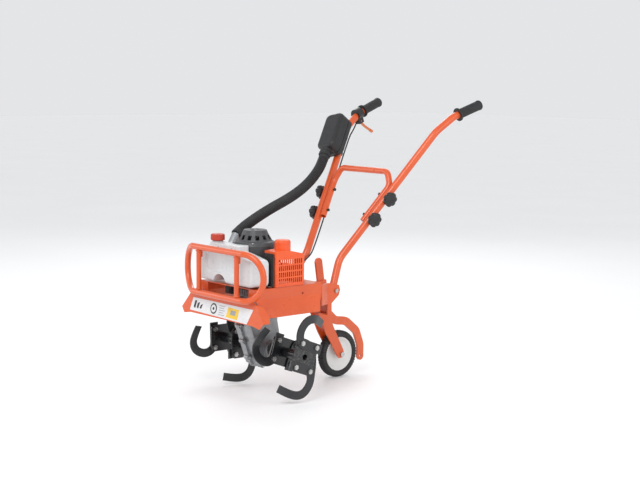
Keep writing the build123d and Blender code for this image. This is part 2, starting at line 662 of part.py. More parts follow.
def knob_holes(radius):
    """Cross holes through the handle tubes and the hoop at each knob."""
    holes = Part()
    for height in KNOB_HEIGHTS:
        for side in (1, -1):
            hole = Pos(-60, 0, 0) * Rot(0, 90, 0) * extrude(Circle(radius), 100)
            holes += across_handle(height, side).location * hole
    return holes


def cross_brace():
    """One-piece hoop bolted inside both handle tubes."""
    radius = 11
    inboard = HANDLE_R + radius + 0.3
    low = across_handle(566, 1).from_local_coords((-inboard, 0, 0))
    high = across_handle(690, 1).from_local_coords((-inboard, 0, 0))
    points = [tuple(low), tuple(high), (121, 172, 742)]
    points = points + [(-x, y, z) for x, y, z in reversed(points)]
    hoop = bent_rod(points, [40, 30, 30, 40], radius, radius - 1.5)
    return hoop - knob_holes(3.05)


def knob(side, height):
    """Star knob moulded on its bolt, which runs through the handle tube and the hoop."""
    shape = rod((HANDLE_R + 1, 0, 0), (HANDLE_R + 21, 0, 0), 22)
    for k in range(7):
        angle = 2 * pi * k / 7
        y, z = 20 * cos(angle), 20 * sin(angle)
        shape += rod((HANDLE_R + 6, y, z), (HANDLE_R + 21, y, z), 7)
    shape += rod((HANDLE_R + 2, 0, 0), (-44, 0, 0), 3)
    shape += Pos(-41.5, 0, 0) * Rot(0, 90, 0) * extrude(RegularPolygon(6, 6), 4.5)
    return across_handle(height, side).location * shape


def pivot_bolts():
    """Bolts that the handle tubes swing on, heads outside the cheeks."""
    bolts = []
    for side in (1, -1):
        bolt = rod((side * 144, PIVOT_Y, PIVOT_Z), (side * 92, PIVOT_Y, PIVOT_Z), 4)
        bolt += extrude(Plane(origin=(side * 137.1, PIVOT_Y, PIVOT_Z), z_dir=(side, 0, 0)) * RegularPolygon(7.5, 6), 6)
        bolt += extrude(Plane(origin=(side * 94, PIVOT_Y, PIVOT_Z), z_dir=(side, 0, 0)) * RegularPolygon(7.5, 6), 6)
        bolts.append(bolt)
    return Compound(children=bolts)


def grip_ends(side):
    return [Vector(side * x, y, z) for x, y, z in (GRIP_START, GRIP_END)]


def grip(side):
    """Rubber grip over the tube's end, with a flange at its inner end."""
    start, end = grip_ends(side)
    away = (end - start).normalized()
    body = rod(tuple(start), tuple(end), GRIP_R)
    body += rod(tuple(start), tuple(start + away * FLANGE_THICK), FLANGE_R)
    tube = bent_rod(handle_route(side, TUBE_END), TUBE_BENDS, HANDLE_R)
    return body - tube


def on_right_grip(along, shape):
    """Place a shape, drawn round +Z as the tube's direction, on the right tube at a distance before the grip."""
    start, end = grip_ends(-1)
    away = (end - start).normalized()
    plane = Plane(origin=start - away * along, x_dir=(-1, 0, 0), z_dir=away)
    return plane.location * shape


THROTTLE_ALONG = 27


def throttle_housing():
    """Clamp on the right handle that carries the throttle lever and the stop switch."""
    ring = Pos(0, 0, -15) * extrude(Circle(21), 30)
    ring += Pos(0, -26, 0) * Box(22, 22, 26)
    ring -= Pos(0, -32, 3) * Box(4.6, 22, 30)
    ring -= Pos(-20, LEVER_PIVOT, 0) * Rot(0, 90, 0) * extrude(Circle(2.55), 40)
    ring -= Pos(19, 0, 0) * Box(9.2, 9.4, 13.4)
    ring = on_right_grip(THROTTLE_ALONG, ring)
    tube = bent_rod(handle_route(-1, TUBE_END), TUBE_BENDS, HANDLE_R)
    return ring - tube


LEVER_PIVOT = -29


def throttle_lever():
    """Finger lever under the grip, with its pivot pin and a pale tip."""
    arm = [(LEVER_PIVOT + 4, 2), (LEVER_PIVOT - 1, -5), (-58, 15), (-89, 46), (-84, 53), (-54, 24)]
    lever = side_plate(arm, -2, 2)
    lever += rod((-2.1, LEVER_PIVOT, 0), (2.1, LEVER_PIVOT, 0), 5.5)
    lever += rod((-10.5, LEVER_PIVOT, 0), (10.5, LEVER_PIVOT, 0), 2.5)
    lever += rod((0, -83, 46), (0, -92, 55), 6)
    return on_right_grip(THROTTLE_ALONG, lever)


def stop_switch():
    """Push button set in the side of the throttle housing."""
    return on_right_grip(THROTTLE_ALONG, Pos(20.3, 0, 0) * Box(6.4, 9, 13))


def along_right_handle(height):
    """Plane across the right handle tube: its Z runs up the tube and its -Y faces forward."""
    away = Vector(-0.329, 0.723, 1).normalized()
    across = (Vector(1, 0, 0) - away * away.X).normalized()
    return Plane(origin=handle_axis(height, -1), x_dir=across, z_dir=away)


FILTER_HEIGHT = 830
FILTER_WIDTH, FILTER_BACK, FILTER_SPLIT, FILTER_FRONT = 82, -15.5, -36, -82
FILTER_LOW, FILTER_HIGH = -78, 78
NOZZLE_X, NOZZLE_Y = -6, -58


def filter_block(y0, y1, z0, z1, half, corner):
    face = make_face(Polyline((-half, y0), (half, y0), (half, y1), (-half, y1), close=True))
    block = Pos(0, 0, z0) * extrude(face, z1 - z0)
    return fillet(block.edges().filter_by(Axis.Y), corner)


def air_filter_body():
    """Rear half of the air box with the saddle that grips the handle tube."""
    half = FILTER_WIDTH / 2
    body = filter_block(FILTER_SPLIT, FILTER_BACK, FILTER_LOW, FILTER_HIGH, half, 22)
    body -= filter_block(FILTER_SPLIT - 1, FILTER_BACK - 3, FILTER_LOW + 3, FILTER_HIGH - 3, half - 3, 19)
    for z in (-50, 20):
        band = Pos(0, 0, z - 6) * extrude(Circle(HANDLE_R + 3) - Circle(HANDLE_R + 0.05), 12)
        body += band
        body -= Pos(0, 0, z - 7) * extrude(Circle(HANDLE_R + 0.05), 14)
    return along_right_handle(FILTER_HEIGHT).location * body


def air_filter_cover():
    """Front half of the air box, with the spigot for the intake hose below."""
    half = FILTER_WIDTH / 2
    body = filter_block(FILTER_FRONT, FILTER_SPLIT - 0.3, FILTER_LOW, FILTER_HIGH, half, 22)
    body = fillet(body.faces().sort_by(Axis.Y)[0].edges(), 12)
    hollow = filter_block(FILTER_FRONT + 3, FILTER_SPLIT + 1, FILTER_LOW + 3, FILTER_HIGH - 3, half - 3, 19)
    body -= fillet(hollow.faces().sort_by(Axis.Y)[0].edges(), 9)
    spigot = Pos(NOZZLE_X, NOZZLE_Y, FILTER_LOW - 18) * extrude(Circle(21), 22)
    body += spigot
    body -= Pos(NOZZLE_X, NOZZLE_Y, FILTER_LOW - 20) * extrude(Circle(15), 26)
    return along_right_handle(FILTER_HEIGHT).location * body


def air_filter_element():
    foam = filter_block(FILTER_SPLIT - 24, FILTER_BACK - 4, -60, 70, 34, 14)
    return along_right_handle(FILTER_HEIGHT).location * foam


def intake_hose():
    bends = route_bends(HOSE_ROUTE)
    path = FilletPolyline(*HOSE_ROUTE, radius=bends)
    hose = bent_rod(HOSE_ROUTE, bends, HOSE_R, HOSE_R - 3)
    share = hose.volume / (pi * (HOSE_R ** 2 - (HOSE_R - 3) ** 2) * path.length)
    print("intake hose length", round(path.length), "bends", [round(r) for r in bends], "share", round(share, 4))
    return hose


def throttle_cable():
    bends = [min(r, 90) for r in route_bends(CABLE_ROUTE)]
    path = FilletPolyline(*CABLE_ROUTE, radius=bends)
    cable = bent_rod(CABLE_ROUTE, bends, CABLE_R)
    share = cable.volume / (pi * CABLE_R ** 2 * path.length)
    print("throttle cable length", round(path.length), "bends", [round(r) for r in bends], "share", round(share, 4))
    return cable


def route_bends(points):
    """Radius at each corner: 0.45 of the shorter run over the tangent of half the turn."""
    bends = []
    for before, corner, after in zip(points, points[1:], points[2:]):
        first = Vector(*corner) - Vector(*before)
        second = Vector(*after) - Vector(*corner)
        half_turn = radians(first.get_angle(second)) / 2
        bends.append(0.45 * min(first.length, second.length) / abs(sin(half_turn) / cos(half_turn)))
    return bends


PARTS = {
    "deck_plate": deck_plate,
    "left_side_rail": left_side_rail,
    "right_side_rail": lambda: mirrored(left_side_rail()),
    "front_skirt": front_skirt,
    "bumper_bar": bumper_bar,
    "rear_bracket": rear_bracket,
    "left_wheel_leg": left_wheel_leg,
    "right_wheel_leg": lambda: mirrored(left_wheel_leg()),
    "stake_socket": stake_socket,
    "stake_clamp_screw": stake_clamp_screw,
    "drag_stake": drag_stake,
    "gearbox_left_half": gearbox_left_half,
    "gearbox_right_half": lambda: mirrored(gearbox_left_half()),
    "chassis_bolts": chassis_bolts,
    "worm_shaft": worm_shaft,
    "worm_wheel": worm_wheel,
    "output_shaft": output_shaft,
    "output_bearings": output_bearings,
    "left_tine_hub": lambda: tine_hub(1),
    "right_tine_hub": lambda: tine_hub(-1),
    "left_tine_blades": lambda: tine_blades(1),
    "right_tine_blades": lambda: tine_blades(-1),
    "left_tine_bolts": lambda: tine_bolts(1),
    "right_tine_bolts": lambda: tine_bolts(-1),
    "tyre": tyre,
    "wheel_hub": wheel_hub,
    "wheel_axle": wheel_axle,
    "crankcase": crankcase,
    "cylinder": cylinder,
    "cylinder_cover": cylinder_cover,
    "muffler": muffler,
    "plug_cap": plug_cap,
    "carburettor": carburettor,
    "fuel_tank": fuel_tank,
    "fuel_cap": fuel_cap,
    "fan_housing": fan_housing,
    "recoil_cover": recoil_cover,
    "starter_pulley": starter_pulley,
    "starter_handle": starter_handle,
    "flywheel": flywheel,
    "left_handle_tube": lambda: handle_tube(1),
    "right_handle_tube": lambda: handle_tube(-1),
    "cross_brace": cross_brace,
    "pivot_bolts": pivot_bolts,
    "left_grip": lambda: grip(1),
    "right_grip": lambda: grip(-1),
    "throttle_housing": throttle_housing,
    "throttle_lever": throttle_lever,
    "stop_switch": stop_switch,
    "throttle_cable": throttle_cable,
    "intake_hose": intake_hose,
    "air_filter_body": air_filter_body,
    "air_filter_cover": air_filter_cover,
    "air_filter_element": air_filter_element,
    "left_lower_knob": lambda: knob(1, KNOB_HEIGHTS[0]),
    "left_upper_knob": lambda: knob(1, KNOB_HEIGHTS[1]),
    "right_lower_knob": lambda: knob(-1, KNOB_HEIGHTS[0]),
    "right_upper_knob": lambda: knob(-1, KNOB_HEIGHTS[1]),
}

os.makedirs("parts", exist_ok=True)
for name, make in PARTS.items():
    export_step(make(), f"parts/{name}.step")
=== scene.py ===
import json
from math import cos, pi, radians, sin

import bmesh
import bpy
from mathutils import Matrix, Vector


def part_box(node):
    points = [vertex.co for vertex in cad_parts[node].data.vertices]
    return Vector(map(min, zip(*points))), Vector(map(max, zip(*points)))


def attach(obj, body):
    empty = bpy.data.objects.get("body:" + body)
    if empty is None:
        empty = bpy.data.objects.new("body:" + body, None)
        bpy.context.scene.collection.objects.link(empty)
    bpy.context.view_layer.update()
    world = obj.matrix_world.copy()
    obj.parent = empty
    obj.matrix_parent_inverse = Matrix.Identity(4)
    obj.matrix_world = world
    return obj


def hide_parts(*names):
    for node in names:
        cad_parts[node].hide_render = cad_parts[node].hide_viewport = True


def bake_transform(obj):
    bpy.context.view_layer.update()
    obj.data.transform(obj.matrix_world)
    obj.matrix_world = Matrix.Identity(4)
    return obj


# Looks of a petrol mini tiller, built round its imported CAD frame. Metres, +Z up, ground at Z = 0.
# Lengths written as whole numbers are millimetres, and mm() turns them into metres.

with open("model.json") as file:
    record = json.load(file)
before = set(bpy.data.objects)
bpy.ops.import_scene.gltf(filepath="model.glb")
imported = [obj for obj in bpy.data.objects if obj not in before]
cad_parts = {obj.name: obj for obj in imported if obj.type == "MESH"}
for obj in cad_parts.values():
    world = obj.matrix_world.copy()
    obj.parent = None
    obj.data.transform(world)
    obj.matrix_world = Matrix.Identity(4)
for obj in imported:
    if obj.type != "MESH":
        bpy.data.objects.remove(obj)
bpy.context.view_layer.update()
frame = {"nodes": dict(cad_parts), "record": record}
NODES = frame["nodes"]


def mm(*values):
    """Millimetres to metres, as one number or a Vector."""
    if len(values) == 1:
        return values[0] / 1000
    return Vector(values) / 1000


# ---------------------------------------------------------------- camera and light
AZIMUTH, ELEVATION, ROLL = 48.68, 7.44, 0.64
DISTANCE = 4.69
TARGET = Vector((0, -0.005, 0.45))


def make_camera():
    azimuth, elevation, roll = radians(AZIMUTH), radians(ELEVATION), radians(ROLL)
    back = Vector((sin(azimuth) * cos(elevation), -cos(azimuth) * cos(elevation), sin(elevation)))
    level = Vector((cos(azimuth), sin(azimuth), 0))
    above = back.cross(level)
    right = level * cos(roll) + above * sin(roll)
    up = above * cos(roll) - level * sin(roll)
    data = bpy.data.cameras.new("camera")
    data.sensor_width = 36
    data.lens = 74.6
    data.shift_x, data.shift_y = -0.0098, 0.0217
    data.clip_end = 60
    camera = bpy.data.objects.new("camera", data)
    camera.matrix_world = Matrix.Translation(TARGET + back * DISTANCE) @ Matrix((right, up,
                                                                                 back)).transposed().to_4x4()
    bpy.context.scene.collection.objects.link(camera)
    bpy.context.scene.camera = camera


def softbox(name, place, size, power, colour=(1, 1, 1)):
    data = bpy.data.lights.new(name, "AREA")
    data.shape = "RECTANGLE"
    data.size, data.size_y = size
    data.energy = power
    data.color = colour
    lamp = bpy.data.objects.new(name, data)
    lamp.location = place
    lamp.rotation_mode = "QUATERNION"
    lamp.rotation_quaternion = (Vector(place) - TARGET).to_track_quat("Z", "Y")
    bpy.context.scene.collection.objects.link(lamp)


def make_studio():
    softbox("key_light", (1.2, -2.6, 3.0), (1.8, 1.8), 52)
    softbox("fill_light", (3.2, 0.4, 1.6), (2.0, 2.0), 20)
    softbox("back_light", (-2.4, 2.2, 2.6), (2.0, 1.4), 30)
    softbox("low_light", (-2.6, -2.2, 1.2), (1.6, 1.2), 12)
    world = bpy.data.worlds.new("studio")
    world.use_nodes = True
    world.node_tree.nodes["Background"].inputs["Color"].default_value = (0.97, 0.98, 1, 1)
    world.node_tree.nodes["Background"].inputs["Strength"].default_value = 0.8
    bpy.context.scene.world = world
    bpy.context.scene.view_settings.view_transform = "Standard"


# ---------------------------------------------------------------- materials
def shader(name, **sockets):
    """New material, its tree and its Principled node with constant sockets set."""
    material = bpy.data.materials.new(name)
    material.use_nodes = True
    tree = material.node_tree
    surface = tree.nodes["Principled BSDF"]
    for key, value in sockets.items():
        surface.inputs[key.replace("_", " ")].default_value = value
    return material, tree, surface


def noise(tree, scale, detail=3.0, roughness=0.55, stretch=None):
    """Noise in the row frame, so its grain has one real size on every piece."""
    place = tree.nodes.new("ShaderNodeTexCoord").outputs["Object"]
    if stretch:
        mapping = tree.nodes.new("ShaderNodeMapping")
        mapping.inputs["Scale"].default_value = stretch
        tree.links.new(place, mapping.inputs["Vector"])
        place = mapping.outputs["Vector"]
    node = tree.nodes.new("ShaderNodeTexNoise")
    node.inputs["Scale"].default_value = scale
    node.inputs["Detail"].default_value = detail
    node.inputs["Roughness"].default_value = roughness
    tree.links.new(place, node.inputs["Vector"])
    return node.outputs["Fac"]


def spread(tree, value, low, high, to_low=0.0, to_high=1.0):
    node = tree.nodes.new("ShaderNodeMapRange")
    node.inputs["From Min"].default_value = low
    node.inputs["From Max"].default_value = high
    node.inputs["To Min"].default_value = to_low
    node.inputs["To Max"].default_value = to_high
    tree.links.new(value, node.inputs["Value"])
    return node.outputs["Result"]


def multiply(tree, a, b):
    node = tree.nodes.new("ShaderNodeMath")
    node.operation = "MULTIPLY"
    tree.links.new(a, node.inputs[0])
    tree.links.new(b, node.inputs[1])
    return node.outputs["Value"]


def blend_colours(tree, factor, first, second):
    """Mix of two colours, each a tuple or an earlier node's output."""
    node = tree.nodes.new("ShaderNodeMix")
    node.data_type = "RGBA"
    tree.links.new(factor, node.inputs["Factor"])
    for index, colour in ((6, first), (7, second)):
        if isinstance(colour, tuple):
            node.inputs[index].default_value = (*colour, 1)
        else:
            tree.links.new(colour, node.inputs[index])
    return node.outputs[2]


def worn_edges(tree, low=0.53, high=0.6, scale=60):
    """1 on convex edges, broken up by noise."""
    pointed = tree.nodes.new("ShaderNodeNewGeometry").outputs["Pointiness"]
    edge = spread(tree, pointed, low, high)
    return multiply(tree, edge, spread(tree, noise(tree, scale), 0.45, 0.62))


def relief(tree, surface, height, distance, strength=1.0, rounding=0.0):
    """Bump on the surface, and its edges rounded by the given radius in metres."""
    bump = tree.nodes.new("ShaderNodeBump")
    bump.inputs["Strength"].default_value = strength
    bump.inputs["Distance"].default_value = distance
    tree.links.new(height, bump.inputs["Height"])
    if rounding:
        edge = tree.nodes.new("ShaderNodeBevel")
        edge.samples = 4
        edge.inputs["Radius"].default_value = rounding
        tree.links.new(edge.outputs["Normal"], bump.inputs["Normal"])
    tree.links.new(bump.outputs["Normal"], surface.inputs["Normal"])


def vary(tree, surface, socket, value):
    tree.links.new(value, surface.inputs[socket])


def orange_paint():
    """Powder coat: slight orange peel, semi gloss, paint thinned and dulled along edges."""
    material, tree, surface = shader("orange_paint", Coat_Weight=0.35, Coat_Roughness=0.12, IOR=1.5)
    body = blend_colours(tree, spread(tree, noise(tree, 14), 0.3, 0.7), (0.66, 0.088, 0.013),
                         (0.70, 0.098, 0.015))
    edge = worn_edges(tree, 0.6, 0.72)
    vary(tree, surface, "Base Color", blend_colours(tree, edge, body, (0.74, 0.17, 0.06)))
    vary(tree, surface, "Roughness", spread(tree, noise(tree, 35), 0.3, 0.7, 0.27, 0.34))
    relief(tree, surface, noise(tree, 420, 2), 0.00012, 0.5, 0.0009)
    return material


def cover_plastic():
    """Moulded engine cover plastic: saturated, glossy, faint flow marks."""
    material, tree, surface = shader("cover_plastic", Coat_Weight=0.2, Coat_Roughness=0.1)
    body = blend_colours(tree, spread(tree, noise(tree, 9, stretch=(1, 1, 4)), 0.35, 0.7),
                         (0.78, 0.088, 0.012), (0.86, 0.115, 0.018))
    vary(tree, surface, "Base Color", body)
    vary(tree, surface, "Roughness", spread(tree, noise(tree, 50), 0.3, 0.7, 0.26, 0.4))
    relief(tree, surface, noise(tree, 900, 2), 0.00006, 0.5, 0.0006)
    return material


def black_paint():
    """Gloss black enamel on the blades, scuffed to bare steel along the edges."""
    material, tree, surface = shader("tine_paint", Coat_Weight=0.25, Coat_Roughness=0.15)
    tone = blend_colours(tree, spread(tree, noise(tree, 18), 0.35, 0.7), (0.007, 0.0075, 0.009),
                         (0.011, 0.012, 0.014))
    scuff = worn_edges(tree, 0.57, 0.68, 130)
    vary(tree, surface, "Base Color", blend_colours(tree, scuff, tone, (0.16, 0.155, 0.15)))
    vary(tree, surface, "Metallic", spread(tree, scuff, 0, 1, 0.0, 0.8))
    vary(tree, surface, "Roughness", spread(tree, noise(tree, 70), 0.3, 0.7, 0.26, 0.34))
    relief(tree, surface, noise(tree, 260, 3), 0.00006, 0.4, 0.0007)
    return material


def metal(name, dark, light, rough_low, rough_high, grain, depth, rounding=0.0005):
    material, tree, surface = shader(name, Metallic=1.0)
    vary(tree, surface, "Base Color", blend_colours(tree, spread(tree, noise(tree, grain / 8), 0.3, 0.7),
                                                    dark, light))
    vary(tree, surface, "Roughness", spread(tree, noise(tree, grain / 3), 0.3, 0.7, rough_low, rough_high))
    relief(tree, surface, noise(tree, grain, 3), depth, 0.6, rounding)
    return material


def dull(name, dark, light, rough_low, rough_high, grain, depth, rounding=0.0005, **sockets):
    """Plastic, rubber or paint with a fine grain and slight change of tone."""
    material, tree, surface = shader(name, **sockets)
    vary(tree, surface, "Base Color", blend_colours(tree, spread(tree, noise(tree, grain / 30), 0.3, 0.7),
                                                    dark, light))
    vary(tree, surface, "Roughness", spread(tree, noise(tree, grain / 8), 0.3, 0.7, rough_low, rough_high))
    relief(tree, surface, noise(tree, grain, 3), depth, 0.6, rounding)
    return material


def heat_dulled_steel():
    """Muffler sheet: straw and blue heat tints over dull steel."""
    material, tree, surface = shader("muffler_steel", Metallic=1.0)
    straw = blend_colours(tree, spread(tree, noise(tree, 30), 0.4, 0.6), (0.30, 0.27, 0.24),
                          (0.34, 0.24, 0.13))
    blue = blend_colours(tree, spread(tree, noise(tree, 22), 0.52, 0.66), straw, (0.13, 0.14, 0.20))
    vary(tree, surface, "Base Color", blue)
    vary(tree, surface, "Roughness", spread(tree, noise(tree, 90), 0.3, 0.7, 0.35, 0.6))
    relief(tree, surface, noise(tree, 500, 3), 0.0001, 0.5, 0.0006)
    return material


MATERIALS = {
    "orange_paint": orange_paint(),
    "cover_plastic": cover_plastic(),
    "tine_paint": black_paint(),
    "plated_steel": metal("plated_steel", (0.46, 0.46, 0.45), (0.60, 0.595, 0.58), 0.18, 0.34, 700, 0.00005),
    "bronze": metal("bronze", (0.52, 0.32, 0.13), (0.66, 0.43, 0.20), 0.22, 0.36, 500, 0.00005),
    # Cast aluminium kept dark grey: partly the casting's own tone, partly painted shade for gearbox sides in
    # shadow under the deck.
    "cast_aluminium": metal("cast_aluminium", (0.30, 0.31, 0.32), (0.40, 0.41, 0.42), 0.38, 0.6, 480,
                            0.0003, 0.0012),
    "grey_plastic": dull("grey_plastic", (0.050, 0.052, 0.056), (0.070, 0.073, 0.078), 0.38, 0.52, 900,
                         0.0001),
    "muffler_steel": heat_dulled_steel(),
    "tank_plastic": dull("tank_plastic", (0.60, 0.62, 0.63), (0.66, 0.68, 0.69), 0.24, 0.36, 300, 0.00006,
                         Subsurface_Weight=0.15, Subsurface_Scale=0.006, Subsurface_Radius=(1, 1, 1)),
    "red_plastic": dull("red_plastic", (0.42, 0.030, 0.014), (0.52, 0.045, 0.02), 0.3, 0.45, 800, 0.00006),
    "black_plastic": dull("black_plastic", (0.012, 0.012, 0.013), (0.020, 0.020, 0.022), 0.34, 0.5, 900,
                          0.00012),
    "lever_metal": dull("lever_metal", (0.60, 0.16, 0.05), (0.68, 0.22, 0.08), 0.28, 0.4, 500, 0.00006),
    "black_rubber": dull("black_rubber", (0.014, 0.014, 0.015), (0.024, 0.024, 0.025), 0.5, 0.68, 1100,
                         0.00012),
    "foam": dull("foam", (0.02, 0.02, 0.022), (0.05, 0.05, 0.055), 0.85, 0.95, 700, 0.001),
    "tyre": dull("tyre", (0.012, 0.012, 0.012), (0.022, 0.021, 0.020), 0.55, 0.75, 900, 0.00015),
    "wheel_white": dull("wheel_white", (0.68, 0.68, 0.66), (0.75, 0.75, 0.73), 0.28, 0.42, 500, 0.00008),
    "label_white": dull("label_white", (0.70, 0.71, 0.72), (0.75, 0.76, 0.77), 0.22, 0.3, 700, 0.00002, 0.0),
    "label_black": dull("label_black", (0.015, 0.016, 0.02), (0.03, 0.03, 0.035), 0.25, 0.32, 700, 0.00002,
                        0.0),
    "label_yellow": dull("label_yellow", (0.78, 0.50, 0.03), (0.84, 0.56, 0.05), 0.25, 0.32, 700, 0.00002,
                         0.0),
    "label_grey": dull("label_grey", (0.28, 0.29, 0.31), (0.34, 0.35, 0.37), 0.25, 0.32, 700, 0.00002, 0.0),
}


def paint_cad_nodes():
    for entry in frame["record"]["subparts"]:
        mesh = NODES[entry["node"]].data
        mesh.materials.clear()
        mesh.materials.append(MATERIALS[entry["material_slot"]])


# ---------------------------------------------------------------- mesh helpers
def finish_piece(name, mesh, body, slot=None, materials=(), stands_for=(), smooth=True):
    """Object from a mesh in the row frame, painted, riding on its body."""
    piece = bpy.data.objects.new(name, mesh)
    bpy.context.scene.collection.objects.link(piece)
    for material in materials or [MATERIALS[slot]]:
        mesh.materials.append(material)
    if smooth:
        mesh.shade_smooth()
        mesh.set_sharp_from_angle(angle=radians(38))
    if body:
        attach(piece, body)
    if stands_for:
        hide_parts(*stands_for)
    return piece


def mesh_from(bm, name):
    bmesh.ops.recalc_face_normals(bm, faces=bm.faces[:])
    mesh = bpy.data.meshes.new(name)
    bm.to_mesh(mesh)
    bm.free()
    return mesh


def along_curve(route, smooth_steps=16):
    """Points along the NURBS spline whose control points are the route's."""
    curve = bpy.data.curves.new("route", "CURVE")
    curve.dimensions = "3D"
    curve.resolution_u = smooth_steps
    spline = curve.splines.new("NURBS")
    spline.points.add(len(route) - 1)
    for point, place in zip(spline.points, route):
        point.co = (*place, 1)
    spline.order_u = 3
    spline.use_endpoint_u = True
    holder = bpy.data.objects.new("route", curve)
    line = bpy.data.meshes.new_from_object(holder)
    points = [vertex.co.copy() for vertex in line.vertices]
    bpy.data.objects.remove(holder)
    bpy.data.curves.remove(curve)
    bpy.data.meshes.remove(line)
    return points


def evenly(points, step):
    """The polyline's points respaced by a step close to the one given."""
    lengths = [0.0]
    for a, b in zip(points, points[1:]):
        lengths.append(lengths[-1] + (b - a).length)
    count = max(2, round(lengths[-1] / step))
    spaced, index = [], 0
    for k in range(count + 1):
        wanted = lengths[-1] * k / count
        while index < len(points) - 2 and lengths[index + 1] < wanted:
            index += 1
        share = (wanted - lengths[index]) / max(lengths[index + 1] - lengths[index], 1e-9)
        spaced.append(points[index].lerp(points[index + 1], share))
    return spaced


def frames_along(points):
    """Place, tangent and two turning-free cross directions at each point of a line."""
    result = []
    side = None
    for index, place in enumerate(points):
        tangent = (points[min(index + 1, len(points) - 1)] - points[max(index - 1, 0)]).normalized()
        if side is None:
            side = tangent.orthogonal().normalized()
        side = (side - tangent * side.dot(tangent)).normalized()
        result.append((place, tangent, side, tangent.cross(side)))
    return result


def tube_along(points, radius_at, sides=32, closed_ends=True):
    """Round tube mesh whose radius at station k is radius_at(k)."""
    bm = bmesh.new()
    rings = []
    for k, (place, _, u, v) in enumerate(frames_along(points)):
        radius = radius_at(k)
        ring = []
        for j in range(sides):
            turn = 2 * pi * j / sides
            ring.append(bm.verts.new(place + (u * cos(turn) + v * sin(turn)) * radius))
        rings.append(ring)
    join_rings(bm, rings, closed_ends)
    return bm


def join_rings(bm, rings, closed_ends=True):
    for low, high in zip(rings, rings[1:]):
        count = len(low)
        for j in range(count):
            bm.faces.new((low[j], low[(j + 1) % count], high[(j + 1) % count], high[j]))
    if closed_ends:
        bm.faces.new(rings[0])
        bm.faces.new(rings[-1])


def lathe(bm, origin, axis, profile, sides=64, ripple=None, start=None, ring_shaped=False):
    """Closed surface turned about an axis. The profile is (along, radius) pairs in millimetres."""
    axis = Vector(axis).normalized()
    side = Vector(start).normalized() if start else axis.orthogonal().normalized()
    other = axis.cross(side)
    rings = []
    for along, radius in profile:
        ring = []
        for j in range(sides):
            turn = 2 * pi * j / sides
            reach = mm(radius) * (ripple(turn, along) if ripple else 1)
            ring.append(bm.verts.new(Vector(origin) + axis * mm(along) + (side * cos(turn) + other * sin(turn)) * reach))
        rings.append(ring)
    if ring_shaped:
        join_rings(bm, rings + rings[:1], False)
    else:
        join_rings(bm, rings)


def softened(name, node, body, slot, voxel, rounds):
    """The CAD piece with its edges melted, as a blow-moulded or pressed skin has them."""
    source = NODES[node]
    mesh = source.data.copy()
    mesh.transform(source.matrix_world)
    mesh.materials.clear()
    holder = bpy.data.objects.new(name, mesh)
    bpy.context.scene.collection.objects.link(holder)
    remesh = holder.modifiers.new("remesh", "REMESH")
    remesh.mode = "VOXEL"
    remesh.voxel_size = voxel
    relax = holder.modifiers.new("relax", "SMOOTH")
    relax.iterations = rounds
    soft = bpy.data.meshes.new_from_object(holder.evaluated_get(bpy.context.evaluated_depsgraph_get()))
    bpy.data.objects.remove(holder)
    return finish_piece(name, soft, body, slot, stands_for=[node])


# ---------------------------------------------------------------- wheel
WHEEL = (0, 0.052, 0.085)


def tyre_tread():
    """Tyre with two staggered rows of lugs and a rounded sidewall."""
    def lugs(turn, along):
        step = round(turn / (2 * pi) * 288) + (3 if along > 0 else 0)
        return 0.965 if step % 6 < 2 and 3 < abs(along) < 13 else 1

    half = [(1.2, 82.5), (2.6, 82.8), (3.1, 84.6), (7, 84.4), (11, 82.6), (12.9, 81), (14.6, 77), (15.9, 70),
            (15, 65), (12.6, 62.6), (10, 62)]
    profile = [(-along, radius) for along, radius in reversed(half)] + half
    bm = bmesh.new()
    lathe(bm, WHEEL, (1, 0, 0), profile, 288, lugs, ring_shaped=True)
    finish_piece("tyre_with_tread", mesh_from(bm, "tyre_with_tread"), "wheel", "tyre", stands_for=["tyre"])


def wheel_disc():
    """Dished moulded disc with a rolled rim and a boss each side."""
    half = [(3, 24), (3.2, 40), (4.5, 47), (7.5, 52), (10.6, 55.5), (11.4, 58), (11, 61.2), (8, 61.9)]
    boss = [(19, 5.2), (19, 12), (18.2, 13), (9, 13.6), (5, 17)]
    profile = boss + half
    profile = profile + [(-along, radius) for along, radius in reversed(profile)]
    bm = bmesh.new()
    lathe(bm, WHEEL, (1, 0, 0), profile, 96)
    finish_piece("dished_wheel_disc", mesh_from(bm, "dished_wheel_disc"), "wheel", "wheel_white",
                 stands_for=["wheel_hub"])


# ---------------------------------------------------------------- rotor blades
AXLE_Y, AXLE_Z = -291, 152
PLATE_FACES = (115, 224)
PHASES = {(1, 0): 90, (1, 1): 0, (-1, 0): 20, (-1, 1): -70}
TIP_LEAN = (30, -26)


